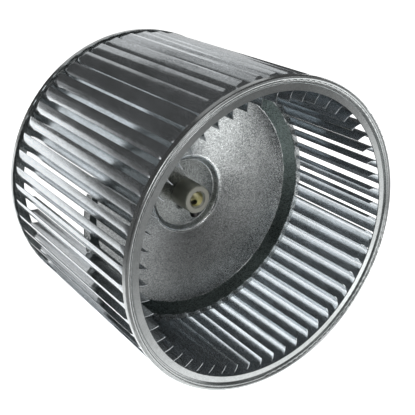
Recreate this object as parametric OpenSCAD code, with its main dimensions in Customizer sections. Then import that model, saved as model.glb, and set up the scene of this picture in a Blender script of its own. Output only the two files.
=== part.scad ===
// Double-inlet blower wheel: two rolled end rings, a cage of forward-curved blades,
// a dished centre disc, a bored hub and the set screw that clamps it to the shaft.
// The shaft axis is Y, the front opening faces -Y, and the origin is the wheel's centre.
// Every module draws with the shaft axis along Z and the front opening facing +Z,
// and along_shaft() turns the finished piece into place.

/* [Wheel] */
// Outside diameter over the end rings' beads
wheel_dia = 254; // [240:0.5:280]
// Overall width over the end rings
wheel_width = 203.2; // [140:0.1:260]
// Number of blades
blade_count = 54; // [40:1:55]
// Angle of the first blade, from +X towards +Z
first_blade_angle = 2.7; // [0:0.1:6.6]

/* [End rings] */
// Thickness of the end rings' sheet
ring_sheet = 0.8; // [0.6:0.05:0.85]
// Depth of the outer bead along the shaft
bead_depth = 5.4; // [5:0.1:7]
// Distance of the flat lip behind the bead's front
lip_setback = 2.7; // [2.4:0.1:3]
// Radial width of the flat lip, up to the groove
lip_width = 5.7; // [4:0.1:7]

/* [Blades] */
// Thickness of the blades' sheet
blade_sheet = 0.6; // [0.4:0.05:0.8]
// Radial distance from the bead's outside to the blades' inner edges
blade_height = 19.6; // [17:0.1:21]
// Angle from a blade's inner edge back to its outer edge
blade_sweep = 9; // [8:0.1:10]
// Depth of the blade's curve across its chord
blade_camber = 5.4; // [4:0.1:6]

/* [Centre disc] */
// Thickness of the disc's sheet
disc_sheet = 1.2; // [0.8:0.1:1.4]
// Distance of the rim's front face in front of the wheel's middle
rim_offset = 6.3; // [4:0.1:10]
// Depth of the dished wall inside the rim
dish_depth = 7.3; // [6:0.1:9]
// Depth of the shallow cone, from the dished wall to the boss
cone_depth = 13.8; // [10:0.1:16]
// Depth of the boss's recess
boss_depth = 5; // [4:0.1:6]
// Radius of the boss's raised edge
boss_radius = 34; // [30:0.5:38]

/* [Hub] */
// Outside diameter of the hub
hub_dia = 25; // [24:0.1:28]
// Overall length of the hub
hub_length = 25.4; // [25:0.1:30]
// Diameter of the shaft bore
bore_dia = 12.7; // [10:0.1:13]
// Size of the chamfer at the bore's front
bore_chamfer = 1.5; // [0.5:0.1:2]

/* [Set screw] */
// Outside diameter of the set screw
screw_dia = 7.94; // [6:0.01:8]
// Length of the set screw
screw_length = 12.7; // [10:0.1:14]
// Width across the flats of its hex socket
socket_flats = 3.97; // [3:0.01:4]
// Angle of the set screw round the shaft, from +X towards +Z
screw_angle = 280; // [0:1:359]

/* [Hidden] */
$fn = 96;

wheel_r = wheel_dia / 2;
wheel_half = wheel_width / 2;
blade_pitch = 360 / blade_count;

// End ring: radii from the axis, depths behind the ring's front.
roll_r = 1.65;
ridge_r = 0.75;
ridge_setback = 0.8;
ridge_overlap = 0.1;
groove_width = 1;
groove_depth = 0.8;
roll_centre = [wheel_r - roll_r, roll_r];
ridge_centre = [wheel_r - 2 * roll_r - ridge_r + ridge_overlap, ridge_setback + ridge_r];
bead_inner_r = ridge_centre[0] - ridge_r;
lip_outer_r = bead_inner_r - groove_width;
lip_inner_r = lip_outer_r - lip_width;
groove_floor = lip_setback + groove_depth;
channel_inner_r = bead_inner_r + ring_sheet;
channel_outer_r = wheel_r - ring_sheet;
channel_roof = roll_r + ring_sheet;

// Blade: its section is one arc of sheet between an inner and an outer point.
blade_recess = 0.5;
blade_inner_r = wheel_r - blade_height;
blade_outer_r = wheel_r - blade_recess;
blade_inner_point = blade_inner_r * [1, 0];
blade_outer_point = blade_outer_r * [cos(-blade_sweep), sin(-blade_sweep)];
blade_chord = norm(blade_outer_point - blade_inner_point);
blade_arc_r = (pow(blade_chord / 2, 2) + pow(blade_camber, 2)) / (2 * blade_camber);
blade_chord_dir = (blade_outer_point - blade_inner_point) / blade_chord;
blade_arc_centre = (blade_inner_point + blade_outer_point) / 2
    + (blade_arc_r - blade_camber) * [blade_chord_dir[1], -blade_chord_dir[0]];
blade_half_width = wheel_half - bead_depth;
tab_gap = 0.1;
tab_half_width = wheel_half - channel_roof - tab_gap;

// Centre disc: the hub's spigot fills its hole, and distances in from the boss's edge and the blades.
rim_reach = 2.8;
notch_width = 2.2;
notch_gap = 0.15;
shoulder_step = 1.5;
spigot_r = hub_dia / 2 - shoulder_step;
spigot_gap = 0.05;
boss_slope = 3;
wall_start = 11.2;
wall_end = 1.6;
rim_mid = rim_offset - disc_sheet / 2;
boss_floor = rim_mid - dish_depth - cone_depth - boss_depth;
// Points of the disc's middle line as [radius, height], and the bend radius at each corner.
disc_line = [
    [spigot_r + spigot_gap, boss_floor],
    [boss_radius - boss_slope, boss_floor],
    [boss_radius, boss_floor + boss_depth],
    [blade_inner_r - wall_start, rim_mid - dish_depth],
    [blade_inner_r - wall_end, rim_mid],
    [blade_inner_r + rim_reach, rim_mid]
];
disc_bend_r = [0, 2, 2.5, 2.5, 1.4];
bend_steps = 8;

// Hub: heights along the shaft.
hub_shoulder = boss_floor + disc_sheet / 2;
collar_top = boss_floor - disc_sheet / 2;
collar_height = 2;
collar_grip = 1;
hub_front = 0.7;
hub_back = hub_front - hub_length;
hub_edge = 0.8;
back_chamfer = 0.8;

// Set screw: distances out from the shaft axis.
screw_height = -8.6;
screw_clearance = 0.25;
screw_tip = bore_dia / 2 + screw_clearance;
screw_end = screw_tip + screw_length;
screw_edge = 0.8;
screw_gap = 0.05;
socket_depth = 4.5;
cup_r = 2;
cup_depth = 1;

cut = 1;

function two_digits(i) = str(i < 10 ? "0" : "", i);
function blade_name(i) = str("blade_", two_digits(i));

// Turns a piece drawn along Z so that its axis is the shaft axis.
module along_shaft() {
    rotate([90, 0, 0]) children();
}

// A rectangle between two corners.
module area(low, high) {
    translate(low) square(high - low);
}

// A bent strip of sheet: the part of a ring between the directions of two points.
module bend(centre, radius, a, b, sheet) {
    reach = 4 * (radius + sheet) / radius;
    intersection() {
        translate(centre) difference() {
            circle(radius + sheet / 2);
            circle(radius - sheet / 2);
        }
        polygon([centre, centre + reach * (a - centre), centre + reach * (b - centre)]);
    }
}

function unit(v) = v / norm(v);
function left_of(v) = [-v[1], v[0]];
function turned(v, angle) =
    [v[0] * cos(angle) - v[1] * sin(angle), v[0] * sin(angle) + v[1] * cos(angle)];

// Direction of line p after its point i, and how far the line turns at that point.
function direction(p, i) = unit(p[i + 1] - p[i]);
function turn_at(p, i) =
    atan2(cross(direction(p, i - 1), direction(p, i)), direction(p, i - 1) * direction(p, i));

// Where the bend of radius r at point i starts, and its centre.
function bend_start(p, r, i) = p[i] - direction(p, i - 1) * r * tan(abs(turn_at(p, i)) / 2);
function bend_centre(p, r, i) =
    bend_start(p, r, i) + left_of(direction(p, i - 1)) * r * sign(turn_at(p, i));

// One face of a sheet that follows line p, at a signed distance to the line's left.
function end_of_face(p, i, gap) = p[i] + left_of(direction(p, min(i, len(p) - 2))) * gap;
function bend_point(p, r, i, gap, angle) =
    bend_centre(p, r, i)
    + turned(bend_start(p, r, i) - bend_centre(p, r, i) + left_of(direction(p, i - 1)) * gap, angle);
function face(p, r, gap) = concat(
    [end_of_face(p, 0, gap)],
    [
        for (i = [1:len(p) - 2]) for (k = [0:bend_steps])
            bend_point(p, r[i], i, gap, turn_at(p, i) * k / bend_steps)
    ],
    [end_of_face(p, len(p) - 1, gap)]
);
function reversed(list) = [for (i = [len(list) - 1:-1:0]) list[i]];

// The section of a pressed sheet that follows points p, with bend radii r at its corners.
module pressed_section(p, r, sheet) {
    polygon(concat(face(p, r, sheet / 2), reversed(face(p, r, -sheet / 2))));
}

// Section of an end ring, with the depth behind its front as the second coordinate.
module ring_section() {
    lip_bend = [lip_outer_r - ring_sheet, lip_setback + ring_sheet];
    difference() {
        union() {
            translate(roll_centre) circle(roll_r);
            translate(ridge_centre) circle(ridge_r);
            area([bead_inner_r, ridge_centre[1]], [wheel_r - roll_r, channel_roof]);
            area([wheel_r - 2 * roll_r, roll_r], [wheel_r, channel_roof]);
        }
        translate(roll_centre) circle(roll_r - ring_sheet);
        area([roll_centre[0] - roll_r + ring_sheet, roll_r], [channel_outer_r, channel_roof + cut]);
    }
    area([channel_outer_r, roll_r], [wheel_r, bead_depth]);
    area([bead_inner_r, ridge_centre[1]], [channel_inner_r, groove_floor + ring_sheet]);
    area([lip_bend[0], groove_floor], [channel_inner_r, groove_floor + ring_sheet]);
    area([lip_bend[0], lip_bend[1]], [lip_outer_r, groove_floor + ring_sheet]);
    translate(lip_bend) circle(ring_sheet);
    area([lip_inner_r, lip_setback], lip_bend);
}

// An end ring at the front, with its bead facing +Z.
module end_ring() {
    translate([0, 0, wheel_half]) mirror([0, 0, 1]) rotate_extrude() ring_section();
}

module front_end_ring() {
    color("silver") along_shaft() end_ring();
}

module rear_end_ring() {
    color("silver") along_shaft() mirror([0, 0, 1]) end_ring();
}

module blade_section() {
    bend(blade_arc_centre, blade_arc_r, blade_inner_point, blade_outer_point, blade_sheet);
}

// The outer part of the section, which runs on into the end rings' channels.
module tab_section() {
    intersection() {
        blade_section();
        difference() {
            circle(channel_outer_r - tab_gap);
            circle(channel_inner_r + tab_gap);
        }
    }
}

module blade(i) {
    color("gainsboro") along_shaft() rotate([0, 0, first_blade_angle + (i - 1) * blade_pitch]) {
        linear_extrude(2 * blade_half_width, center = true) blade_section();
        linear_extrude(2 * tab_half_width, center = true) tab_section();
    }
}

module centre_disc() {
    notch_start = blade_inner_r - notch_gap;
    color("darkgray") along_shaft() difference() {
        rotate_extrude() pressed_section(disc_line, disc_bend_r, disc_sheet);
        for (i = [0:blade_count - 1])
            rotate([0, 0, first_blade_angle + i * blade_pitch])
                translate([notch_start, -notch_width / 2, rim_mid - disc_sheet])
                    cube([rim_reach + cut, notch_width, 2 * disc_sheet]);
    }
}

// Places a piece drawn along Z on the set screw's line, starting at the shaft axis.
module along_screw() {
    rotate([0, 0, screw_angle]) translate([0, 0, screw_height]) rotate([0, 90, 0]) children();
}

module hub_section() {
    hub_r = hub_dia / 2;
    bore_r = bore_dia / 2;
    polygon([
        [bore_r, hub_back + back_chamfer],
        [bore_r + back_chamfer, hub_back],
        [spigot_r, hub_back],
        [spigot_r, collar_top - collar_height],
        [hub_r + collar_grip, collar_top - collar_height],
        [hub_r + collar_grip, collar_top],
        [spigot_r, collar_top],
        [spigot_r, hub_shoulder],
        [hub_r, hub_shoulder],
        [hub_r, hub_front - hub_edge],
        [hub_r - hub_edge, hub_front],
        [bore_r + bore_chamfer, hub_front],
        [bore_r, hub_front - bore_chamfer]
    ]);
}

module hub() {
    color("dimgray") along_shaft() difference() {
        rotate_extrude() hub_section();
        along_screw() cylinder(h = hub_dia, r = screw_dia / 2 + screw_gap);
    }
}

module set_screw() {
    screw_r = screw_dia / 2;
    color("darkslategray") along_shaft() along_screw() difference() {
        union() {
            translate([0, 0, screw_tip]) cylinder(h = screw_edge, r1 = screw_r - screw_edge, r2 = screw_r);
            translate([0, 0, screw_tip + screw_edge]) cylinder(h = screw_length - 2 * screw_edge, r = screw_r);
            translate([0, 0, screw_end - screw_edge])
                cylinder(h = screw_edge, r1 = screw_r, r2 = screw_r - screw_edge);
        }
        translate([0, 0, screw_end - socket_depth])
            cylinder(h = socket_depth + cut, d = socket_flats / cos(30), $fn = 6);
        translate([0, 0, screw_tip]) cylinder(h = cup_depth, r1 = cup_r, r2 = cup_r - cup_depth);
    }
}

front_end_ring();
rear_end_ring();
centre_disc();
hub();
set_screw();
for (i = [1:blade_count]) blade(i);
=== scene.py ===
"""A galvanised double-inlet blower wheel, lying on a pale floor in soft studio light."""
import math
import random

import bpy
import bmesh
from mathutils import Matrix, Vector


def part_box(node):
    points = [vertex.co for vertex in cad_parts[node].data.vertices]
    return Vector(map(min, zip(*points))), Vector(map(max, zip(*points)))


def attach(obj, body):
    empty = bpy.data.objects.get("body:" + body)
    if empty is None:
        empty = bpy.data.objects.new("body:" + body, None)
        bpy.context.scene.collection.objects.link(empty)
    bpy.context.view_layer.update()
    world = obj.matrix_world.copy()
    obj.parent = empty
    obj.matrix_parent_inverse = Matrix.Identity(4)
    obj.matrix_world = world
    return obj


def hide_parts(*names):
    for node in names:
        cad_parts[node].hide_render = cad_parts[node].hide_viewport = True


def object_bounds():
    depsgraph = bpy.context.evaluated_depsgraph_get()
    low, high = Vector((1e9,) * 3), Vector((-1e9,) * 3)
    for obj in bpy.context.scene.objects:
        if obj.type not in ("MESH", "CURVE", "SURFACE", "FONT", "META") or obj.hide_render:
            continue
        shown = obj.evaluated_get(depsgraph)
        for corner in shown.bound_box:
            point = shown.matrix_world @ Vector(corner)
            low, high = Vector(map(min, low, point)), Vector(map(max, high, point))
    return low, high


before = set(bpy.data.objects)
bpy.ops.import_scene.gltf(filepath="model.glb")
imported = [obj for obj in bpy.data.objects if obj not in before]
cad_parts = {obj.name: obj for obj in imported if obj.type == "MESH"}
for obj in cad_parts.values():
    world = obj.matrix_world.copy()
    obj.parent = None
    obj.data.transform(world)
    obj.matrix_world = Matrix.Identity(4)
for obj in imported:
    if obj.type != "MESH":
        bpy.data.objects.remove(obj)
cad_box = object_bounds()

MM = 0.001
WHEEL = "wheel"

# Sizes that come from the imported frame.
wheel_low, wheel_high = cad_box
ring_low, ring_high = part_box("front_end_ring")
bead_depth = ring_high.y - ring_low.y
blade_half = wheel_high.y - bead_depth
blade_names = sorted(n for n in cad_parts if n.startswith("blade_"))
blade_count = len(blade_names)


# ---------------------------------------------------------------- camera

# The focal length is in pixels of a picture that is IMAGE_SIDE wide, and the two angles are in degrees.
IMAGE_SIDE = 415
FOCAL_PX = 769.98
SENSOR_WIDTH = 36
CAMERA_PLACE = (-0.3414, -0.5015, 0.2582)
CAMERA_HEADING = -34.1
CAMERA_DIP = 26.07
CAMERA_SHIFT = (0.029, 0.0787)
NEAREST_SEEN = 0.01


def make_camera():
    """The photograph's viewing angle: from the front left, a little above the wheel."""
    data = bpy.data.cameras.new("camera")
    camera = bpy.data.objects.new("camera", data)
    bpy.context.scene.collection.objects.link(camera)
    data.sensor_width = SENSOR_WIDTH
    data.lens = FOCAL_PX / IMAGE_SIDE * data.sensor_width
    data.shift_x, data.shift_y = CAMERA_SHIFT
    data.clip_start = NEAREST_SEEN
    camera.location = CAMERA_PLACE
    camera.rotation_euler = (math.radians(90 - CAMERA_DIP), 0, math.radians(CAMERA_HEADING))
    bpy.context.scene.camera = camera


# ---------------------------------------------------------------- node helpers

class Nodes:
    """A short way to write a material's node tree."""

    def __init__(self, material):
        material.use_nodes = True
        self.tree = material.node_tree
        self.tree.nodes.clear()
        self.output = self.tree.nodes.new("ShaderNodeOutputMaterial")
        self.coordinates = self.tree.nodes.new("ShaderNodeTexCoord").outputs["Object"]

    def add(self, kind, inputs=(), **settings):
        """A new node. An input that is a socket is linked, and any other value is set."""
        node = self.tree.nodes.new(kind)
        for key, value in settings.items():
            setattr(node, key, value)
        for key, value in dict(inputs).items():
            if isinstance(value, bpy.types.NodeSocket):
                self.tree.links.new(value, node.inputs[key])
            else:
                node.inputs[key].default_value = value
        return node

    def stretched(self, scale):
        return self.add("ShaderNodeMapping", {"Vector": self.coordinates, "Scale": scale}).outputs[0]

    def noise(self, vector, scale, detail=2.0, rough=0.5):
        inputs = {"Vector": vector, "Scale": scale, "Detail": detail, "Roughness": rough}
        return self.add("ShaderNodeTexNoise", inputs).outputs["Fac"]

    def grains(self, vector, scale):
        """A random value for each grain of the zinc."""
        node = self.add("ShaderNodeTexVoronoi", {"Vector": vector, "Scale": scale})
        return self.add("ShaderNodeSeparateColor", {"Color": node.outputs["Color"]}).outputs[0]

    def split(self):
        """The point's X, Y and Z."""
        return self.add("ShaderNodeSeparateXYZ", {"Vector": self.coordinates}).outputs

    def radius(self):
        """The point's distance from the shaft axis, Y."""
        x, _, z = self.split()
        across = self.add("ShaderNodeCombineXYZ", {"X": x, "Y": z}).outputs[0]
        return self.add("ShaderNodeVectorMath", {0: across}, operation="LENGTH").outputs["Value"]

    def profile(self):
        """The point's place in the section of a turned or rolled shape: its radius, and along the shaft."""
        _, y, _ = self.split()
        return self.add("ShaderNodeCombineXYZ", {"X": self.radius(), "Y": y}).outputs[0]

    def spread(self, value, low, high, new_low, new_high):
        inputs = {"Value": value, "From Min": low, "From Max": high, "To Min": new_low, "To Max": new_high}
        return self.add("ShaderNodeMapRange", inputs).outputs[0]

    def between(self, value, start, end, soft):
        """1 from start to end, falling to 0 over a soft edge outside each of them."""
        rise = self.spread(value, start - soft, start, 0.0, 1.0)
        fall = self.spread(value, end, end + soft, 1.0, 0.0)
        return self.math("MULTIPLY", rise, fall)

    def math(self, kind, a, b):
        return self.add("ShaderNodeMath", {0: a, 1: b}, operation=kind).outputs[0]

    def weighted(self, *shares):
        """The sum of some values, each times its weight."""
        total = 0.0
        for value, weight in shares:
            inputs = {0: value, 1: weight, 2: total}
            total = self.add("ShaderNodeMath", inputs, operation="MULTIPLY_ADD").outputs[0]
        return total

    def mix(self, share, first, second):
        inputs = {"Factor": share, 6: first, 7: second}
        return self.add("ShaderNodeMix", inputs, data_type="RGBA").outputs[2]

    def tint(self, value, dark, light):
        return self.mix(value, (*dark, 1), (*light, 1))

    def shaded(self, colour, where, shade):
        """The colour, multiplied by a shade where the mask is 1."""
        product = self.add("ShaderNodeVectorMath", {0: colour, 1: shade}, operation="MULTIPLY").outputs[0]
        return self.mix(where, colour, product)

    def metal(self, colour, roughness, height, depth, metallic=1.0):
        """The finished metal, with the height as a relief of a real depth."""
        relief = self.add("ShaderNodeBump", {"Height": height, "Strength": 1.0, "Distance": depth}).outputs[0]
        inputs = {"Base Color": colour, "Roughness": roughness, "Metallic": metallic, "Normal": relief}
        shader = self.add("ShaderNodeBsdfPrincipled", inputs)
        self.tree.links.new(shader.outputs[0], self.output.inputs["Surface"])


# ---------------------------------------------------------------- materials

# Each metal's dark and light tone, and its lowest and highest roughness. A sheet's grain size and the depth
# of its dimples follow.
BLADE_LOOK = ((0.44, 0.47, 0.475), (0.80, 0.84, 0.88), (0.12, 0.20), 0.7 * MM, 0.0025 * MM)
DISC_LOOK = ((0.16, 0.175, 0.175), (0.72, 0.74, 0.74), (0.15, 0.27), 0.62 * MM, 0.03 * MM)
RING_LOOK = ((0.38, 0.40, 0.40), (0.60, 0.62, 0.62), (0.16, 0.25), 0.7 * MM, 0.0012 * MM)
HUB_LOOK = ((0.50, 0.50, 0.43), (0.66, 0.65, 0.55), (0.34, 0.42))
SCREW_LOOK = ((0.035, 0.034, 0.036), (0.12, 0.115, 0.11), (0.28, 0.5))

# How fine the sheet's stains, clouds, rolling lines and scratches are, in features to the metre, and how its
# grain and its lines are drawn out along the shaft.
STAIN_SCALE = 24
CLOUD_SCALE = 130
LINE_SCALE = 1500
SCRATCH_SCALE = 210
GRAIN_STRETCH = (1, 0.4, 1)
LINE_STRETCH = (1, 0.03, 1)
SCRATCH_WIDTH = 0.006

# Zinc that has dulled in the air is a little chalky.
CHALKY_ZINC = 0.89

# Rings of painted shade and painted highlight on the disc's steps: painted shade on the boss's floor and the
# dished wall, painted light on the boss's wall, and painted highlights on the boss's edge and the rim. Each
# goes from one radius to another, with the shade that multiplies its colour and its extra roughness.
BOSS_FLOOR_SHADE = (11.0 * MM, 30.2 * MM, (0.62, 0.63, 0.62), 0.0)
BOSS_WALL_LIGHT = (30.6 * MM, 33.0 * MM, (1.5, 1.5, 1.5), 0.15)
BOSS_EDGE_HIGHLIGHT = (33.0 * MM, 35.6 * MM, (1.7, 1.7, 1.7), -0.04)
DISH_WALL_SHADE = (96.4 * MM, 105.2 * MM, (0.20, 0.24, 0.23), 0.10)
RIM_HIGHLIGHT = (105.9 * MM, 112.0 * MM, (1.5, 1.5, 1.5), 0.10)
DISC_LIGHT_AND_SHADE_RINGS = (BOSS_FLOOR_SHADE, BOSS_WALL_LIGHT, BOSS_EDGE_HIGHLIGHT, DISH_WALL_SHADE, RIM_HIGHLIGHT)
STEP_SOFT = 0.5 * MM

# The disc is painted darker towards its lower left and lighter towards its upper right, as painted shade and
# light: where across it, and how dark and light.
DISC_PAINTED_SLOPE = (-0.06, 0.05, 0.50, 1.15)

# The hub's bore is yellower than the rest of it, and its face between the two chamfers has painted shade.
HUB_BORE_R = 6.35 * MM
HUB_BORE_TONES = ((0.50, 0.48, 0.28), (0.88, 0.85, 0.60))
HUB_FACE = (7.6 * MM, 11.6 * MM)
HUB_FACE_PAINTED_SHADE = (0.55, 0.55, 0.57)
HUB_SOFT = 0.1 * MM
TOOL_MARK_DEPTH = 0.006 * MM
SCREW_GRAIN_DEPTH = 0.01 * MM


def galvanised(name, look, lay, painted_rings=(), painted_slope=None):
    """Zinc-coated sheet: fine grains of different tone and gloss, with stains and clouds over them.

    lay says how its rolling lines run: "shaft" along Y, with thin scratches beside them, "round" about it, or
    "plain" with none. The rings given are painted shade and painted highlights, darker or lighter and
    duller than the rest, and the slope given is painted shade and light, darker towards one side and
    lighter towards the other.
    """
    dark, light, gloss, grain, dimple = look
    material = bpy.data.materials.new(name)
    n = Nodes(material)
    place = n.stretched(GRAIN_STRETCH) if lay == "shaft" else n.coordinates
    grains = n.grains(place, 1 / grain)
    fine = n.noise(place, 0.9 / grain, 2, 0.6)
    stain = n.noise(n.coordinates, STAIN_SCALE, 4, 0.6)
    cloud = n.noise(place, CLOUD_SCALE, 3, 0.6)
    shares = [(stain, 0.25), (cloud, 0.10), (grains, 0.25), (fine, 0.40)]
    height = fine
    if lay != "plain":
        drawn = n.stretched(LINE_STRETCH) if lay == "shaft" else n.profile()
        lines = n.noise(drawn, LINE_SCALE, 2, 0.5)
        shares = [(stain, 0.26), (cloud, 0.16), (grains, 0.14), (fine, 0.20), (lines, 0.24)]
        height = n.weighted((fine, 0.75), (lines, 0.25))
    tone = n.spread(n.weighted(*shares), 0.36, 0.64, 0.0, 1.0)
    if lay == "shaft":
        from_line = n.math("SUBTRACT", n.noise(drawn, SCRATCH_SCALE, 2, 0.4), 0.5)
        scratch = n.spread(n.math("ABSOLUTE", from_line, 0), 0.0, SCRATCH_WIDTH, 1.0, 0.0)
        worn = n.spread(cloud, 0.5, 0.62, 0.0, 0.5)
        tone = n.math("MAXIMUM", tone, n.math("MULTIPLY", scratch, worn))
    colour = n.tint(tone, dark, light)
    dull = n.weighted((stain, 0.45), (cloud, 0.2), (grains, 0.35))
    rough = n.spread(dull, 0.3, 0.7, *gloss)
    # Painted shade and light: darker towards one side and lighter towards the other, across X and Z.
    if painted_slope:
        x, _, z = n.split()
        across = n.weighted((x, 0.7), (z, 0.7))
        scaled = {0: colour, "Scale": n.spread(across, *painted_slope)}
        colour = n.add("ShaderNodeVectorMath", scaled, operation="SCALE").outputs[0]
    if painted_rings:
        ragged = n.spread(cloud, 0.3, 0.7, -STEP_SOFT, STEP_SOFT)
        reach = n.math("ADD", n.radius(), ragged)
    # Painted shade and painted highlight: each ring multiplies the colour by its shade and adds its
    # roughness.
    for start, end, shade, duller in painted_rings:
        inside = n.between(reach, start, end, STEP_SOFT)
        colour = n.shaded(colour, inside, shade)
        rough = n.weighted((rough, 1.0), (inside, duller))
    n.metal(colour, rough, height, dimple, CHALKY_ZINC)
    return material


def turned_steel(name):
    """Zinc-plated steel turned about the shaft axis, Y: tool marks, a yellower bore and painted shade on the
    face.
    """
    dark, light, gloss = HUB_LOOK
    material = bpy.data.materials.new(name)
    n = Nodes(material)
    marks = n.noise(n.profile(), 3200, 2, 0.6)
    stain = n.noise(n.coordinates, 90, 3, 0.5)
    tone = n.spread(n.weighted((marks, 0.5), (stain, 0.5)), 0.3, 0.7, 0.0, 1.0)
    radius = n.radius()
    in_bore = n.spread(radius, HUB_BORE_R, HUB_BORE_R + HUB_SOFT, 1.0, 0.0)
    colour = n.mix(in_bore, n.tint(tone, dark, light), n.tint(tone, *HUB_BORE_TONES))
    # Painted shade: the face between the two chamfers is darkened.
    colour = n.shaded(colour, n.between(radius, *HUB_FACE, HUB_SOFT), HUB_FACE_PAINTED_SHADE)
    n.metal(colour, n.spread(stain, 0.3, 0.7, *gloss), marks, TOOL_MARK_DEPTH)
    return material


def black_oxide(name):
    """Blackened steel with a fine grain and worn, browner patches."""
    dark, light, gloss = SCREW_LOOK
    material = bpy.data.materials.new(name)
    n = Nodes(material)
    grain = n.noise(n.coordinates, 2500, 3, 0.6)
    stain = n.noise(n.coordinates, 300, 3, 0.6)
    n.metal(n.tint(stain, dark, light), n.spread(stain, 0.3, 0.7, *gloss), grain, SCREW_GRAIN_DEPTH)
    return material


def paint(node, material):
    """Gives a CAD node a material in place of its own."""
    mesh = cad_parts[node].data
    mesh.materials.clear()
    mesh.materials.append(material)
    for polygon in mesh.polygons:
        polygon.material_index = 0


# ---------------------------------------------------------------- blades

# The blades' section, as the design gives it, and the angle of the first.
BLADE_INNER_R = 107.4 * MM
BLADE_OUTER_R = 126.5 * MM
BLADE_SWEEP = math.radians(9)
BLADE_CAMBER = 5.4 * MM
BLADE_SHEET = 0.6 * MM
FIRST_BLADE = math.radians(2.7)

# Each end is drawn out towards the middle of the end ring's channel, and its outer corner is rounded. The
# last of it is thinner, and both long edges come to a blunt point.
CHANNEL_MID_R = 124.7 * MM
FORMED_LENGTH = 7.5 * MM
CORNER_R = 4.2 * MM
THIN_LENGTH = 0.1 * MM
THIN_SHARE = 0.6
EDGE_ROUND = 0.16 * MM

# No two blades are quite alike: the most that one bows and twists.
MOST_BOW = 0.25 * MM
MOST_TWIST = 0.4 * MM

# How finely a blade's mesh is cut: round its section, near each end and between them.
ARC_STEPS = 22
END_STEPS = 16
MIDDLE_STEPS = 9
SHARP_EDGE = math.radians(35)


def smooth_step(x):
    x = min(max(x, 0.0), 1.0)
    return x * x * (3 - 2 * x)


def blade_arc():
    """The section's middle line, as (centre, radius, start angle, end angle) in the wheel's own plane."""
    inner = Vector((BLADE_INNER_R, 0))
    outer = BLADE_OUTER_R * Vector((math.cos(-BLADE_SWEEP), math.sin(-BLADE_SWEEP)))
    chord = outer - inner
    radius = ((chord.length / 2) ** 2 + BLADE_CAMBER ** 2) / (2 * BLADE_CAMBER)
    along = chord.normalized()
    centre = (inner + outer) / 2 + (radius - BLADE_CAMBER) * Vector((along.y, -along.x))
    start = math.atan2(*(inner - centre).yx)
    end = math.atan2(*(outer - centre).yx)
    return centre, radius, start, end


def blade_stations():
    """Places along a blade: close together where its ends are formed, wide apart between them."""
    near = [blade_half - FORMED_LENGTH * 1.2 * (1 - k / END_STEPS) for k in range(END_STEPS + 1)]
    near.append(blade_half - 1.2 * THIN_LENGTH)
    near = sorted(set(near))
    middle = [near[0] * k / MIDDLE_STEPS for k in range(1 - MIDDLE_STEPS, MIDDLE_STEPS)]
    return [-y for y in reversed(near)] + middle + near


def blade_section(y, bow, twist):
    """The middle line of a blade at a place along it, as (point, normal) pairs in the wheel's own plane."""
    centre, radius, start, end = blade_arc()
    to_end = blade_half - abs(y)
    into_corner = max(0.0, CORNER_R - to_end)
    cut_back = CORNER_R - math.sqrt(max(CORNER_R ** 2 - into_corner ** 2, 0.0))
    lost = cut_back / (radius * abs(end - start))
    formed = smooth_step(1 - to_end / FORMED_LENGTH)
    bend = bow * (1 - (y / blade_half) ** 2) + twist * y / blade_half
    section = []
    for k in range(ARC_STEPS + 1):
        t = (k / ARC_STEPS) * (1 - lost)
        a = start + (end - start) * t
        normal = Vector((math.cos(a), math.sin(a)))
        p = centre + radius * normal
        share = formed * smooth_step((t - 0.5) / 0.3)
        r = p.length
        p = p * ((r + (CHANNEL_MID_R - r) * share) / r)
        normal = normal.lerp(p.normalized(), share).normalized()
        sway = bend * math.sin(math.pi * t) * (1 - formed)
        section.append((p + normal * sway, normal))
    return section


def blade_outline(section, thickness):
    """The closed outline of the sheet: its outer face, the tip, its inner face and the root."""
    outer_face = [p + n * (thickness / 2) for p, n in section]
    inner_face = [p - n * (thickness / 2) for p, n in section]
    first, second = section[0][0], section[1][0]
    last, last_but_one = section[-1][0], section[-2][0]
    tip = last + (last - last_but_one).normalized() * EDGE_ROUND
    root = first + (first - second).normalized() * EDGE_ROUND
    return [*outer_face, tip, *reversed(inner_face), root]


def close_end(mesh, loop, flip):
    """Fills one end of a blade: a strip of quads, and a triangle at each long edge."""
    out = loop[:ARC_STEPS + 1]
    tip = loop[ARC_STEPS + 1]
    back = list(reversed(loop[ARC_STEPS + 2:2 * ARC_STEPS + 3]))
    root = loop[-1]
    faces = [[out[k], out[k + 1], back[k + 1], back[k]] for k in range(ARC_STEPS)]
    faces.append([out[-1], tip, back[-1]])
    faces.append([back[0], root, out[0]])
    for face in faces:
        mesh.faces.new(list(reversed(face)) if flip else face)


def blade_mesh(name, angle, rng):
    """One blade: an arc of sheet, its ends drawn out to the end rings' channels and its corners rounded."""
    bow = rng.uniform(-MOST_BOW, MOST_BOW)
    twist = rng.uniform(-MOST_TWIST, MOST_TWIST)
    turn = Matrix.Rotation(angle, 2)
    mesh = bmesh.new()
    loops = []
    for y in blade_stations():
        thin = blade_half - abs(y) <= THIN_LENGTH
        thickness = BLADE_SHEET * THIN_SHARE if thin else BLADE_SHEET
        outline = [turn @ p for p in blade_outline(blade_section(y, bow, twist), thickness)]
        loops.append([mesh.verts.new((p.x, y, p.y)) for p in outline])
    count = len(loops[0])
    for low, high in zip(loops, loops[1:]):
        for k in range(count):
            after = (k + 1) % count
            mesh.faces.new((low[k], low[after], high[after], high[k]))
    close_end(mesh, loops[0], True)
    close_end(mesh, loops[-1], False)
    bmesh.ops.recalc_face_normals(mesh, faces=mesh.faces)
    data = bpy.data.meshes.new(name)
    mesh.to_mesh(data)
    mesh.free()
    for polygon in data.polygons:
        polygon.use_smooth = True
    data.set_sharp_from_angle(angle=SHARP_EDGE)
    return data


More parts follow.
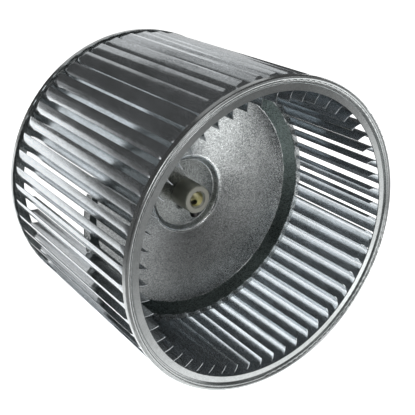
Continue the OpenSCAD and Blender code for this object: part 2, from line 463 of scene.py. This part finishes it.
def make_blades(material):
    rng = random.Random(54)
    for index, node in enumerate(blade_names):
        angle = FIRST_BLADE + index * 2 * math.pi / blade_count
        data = blade_mesh(node + "_formed", angle, rng)
        data.materials.append(material)
        blade = bpy.data.objects.new(node + "_formed", data)
        bpy.context.scene.collection.objects.link(blade)
        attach(blade, WHEEL)
        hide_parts(node)


# ---------------------------------------------------------------- stage and light

FLOOR_SIZE = 12
FLOOR_GAP = 0.2 * MM
FLOOR_GLOW = 1.15
WORLD_GLOW = 0.06

# The floor glows beyond FRONT_EDGE, except where both LEFT_EDGE and ASIDE_EDGE are passed, or both RIGHT_EDGE
# and NEAR_EDGE. An edge is the direction on the floor that it is measured in, and where it fades in.
FRONT_EDGE = (0.563, 0.827, -0.26, -0.14)
LEFT_EDGE = (-0.932, 0.362, 0.20, 0.42)
ASIDE_EDGE = (-0.857, -0.515, 0.05, 0.13)
RIGHT_EDGE = (0.663, -0.749, 0.20, 0.26)
NEAR_EDGE = (-0.563, -0.827, 0.08, 0.15)

# A glowing patch of floor at the front right: its middle, the radii that it fades between, and its strength.
PATCH = (0.19, -0.18, 0)
PATCH_RADII = (0.04, 0.10)
PATCH_GLOW = 0.75


def make_floor():
    """A pale floor that glows round the wheel and on towards the back, and is unlit at the front and left."""
    bpy.ops.mesh.primitive_plane_add(size=FLOOR_SIZE, location=(0, 0, wheel_low.z - FLOOR_GAP))
    floor = bpy.context.object
    floor.name = "floor"
    material = bpy.data.materials.new("pale_floor")
    n = Nodes(material)
    tone = n.noise(n.coordinates, 3, 2)
    colour = n.tint(tone, (0.86, 0.86, 0.86), (0.9, 0.9, 0.9))
    x, y, _ = n.split()

    def passed(edge):
        along_x, along_y, start, end = edge
        return n.spread(n.weighted((x, along_x), (y, along_y)), start, end, 0, 1)

    left_shade = n.math("MULTIPLY", passed(LEFT_EDGE), passed(ASIDE_EDGE))
    right_shade = n.math("MULTIPLY", passed(RIGHT_EDGE), passed(NEAR_EDGE))
    shade = n.math("MAXIMUM", left_shade, right_shade)
    lit = n.math("MULTIPLY", passed(FRONT_EDGE), n.math("SUBTRACT", 1.0, shade))
    from_patch = n.add("ShaderNodeVectorMath", {0: n.coordinates, 1: PATCH}, operation="DISTANCE")
    patch = n.spread(from_patch.outputs["Value"], *PATCH_RADII, PATCH_GLOW, 0)
    glow = n.math("ADD", n.math("MULTIPLY", lit, FLOOR_GLOW), patch)
    finish = {"Base Color": colour, "Roughness": 0.8, "Emission Color": (1, 1, 1, 1)}
    shader = n.add("ShaderNodeBsdfPrincipled", {**finish, "Emission Strength": glow})
    n.tree.links.new(shader.outputs[0], n.output.inputs["Surface"])
    floor.data.materials.append(material)


def softbox(name, azimuth, elevation, distance, width, height, brightness):
    """A panel of light that faces the wheel, which the camera doesn't see.

    azimuth and elevation are in degrees, with azimuth 0 behind the wheel and 90 to its right, and distance,
    width and height are in metres.
    """
    data = bpy.data.lights.new(name, "AREA")
    data.shape = "RECTANGLE"
    data.size = width
    data.size_y = height
    data.energy = brightness * math.pi * width * height
    light = bpy.data.objects.new(name, data)
    a, e = math.radians(azimuth), math.radians(elevation)
    towards = Vector((math.sin(a) * math.cos(e), math.cos(a) * math.cos(e), math.sin(e)))
    light.location = towards * distance
    light.rotation_euler = towards.to_track_quat("Z", "Y").to_euler()
    light.visible_camera = False
    bpy.context.scene.collection.objects.link(light)


def make_light():
    world = bpy.data.worlds.new("studio")
    bpy.context.scene.world = world
    world.use_nodes = True
    background = world.node_tree.nodes["Background"]
    background.inputs["Color"].default_value = (1, 1, 1, 1)
    background.inputs["Strength"].default_value = WORLD_GLOW
    softbox("back_right_softbox", 31, 20, 0.95, 0.32, 0.74, 0.62)
    softbox("back_top_softbox", 8, 46, 0.95, 0.34, 0.17, 0.42)
    softbox("back_softbox", 7, 31, 0.95, 0.46, 0.28, 0.58)
    softbox("back_left_softbox", 338, 10, 0.95, 0.28, 0.14, 0.34)
    softbox("back_left_strip", 338, 0, 0.95, 0.28, 0.24, 0.80)
    softbox("front_top_softbox", 190, 52, 0.95, 0.6, 0.4, 1.1)
    softbox("right_softbox", 90, 14, 0.9, 0.5, 0.5, 1.6)
    softbox("front_right_softbox", 148, 22, 0.9, 0.4, 0.34, 0.6)
    softbox("front_softbox", 173, 12, 0.9, 0.2, 0.16, 5.0)
    softbox("front_left_softbox", 232, 33, 0.9, 0.4, 0.4, 2.2)
    bpy.context.scene.view_settings.view_transform = "Standard"


make_camera()
make_floor()
make_light()
blade_metal = galvanised("galvanised_blade", BLADE_LOOK, "shaft")
disc_metal = galvanised("galvanised_disc", DISC_LOOK, "plain", DISC_LIGHT_AND_SHADE_RINGS, DISC_PAINTED_SLOPE)
ring_metal = galvanised("galvanised_ring", RING_LOOK, "round")
make_blades(blade_metal)
paint("centre_disc", disc_metal)
paint("front_end_ring", ring_metal)
paint("rear_end_ring", ring_metal)
paint("hub", turned_steel("plated_steel"))
paint("set_screw", black_oxide("black_oxide"))
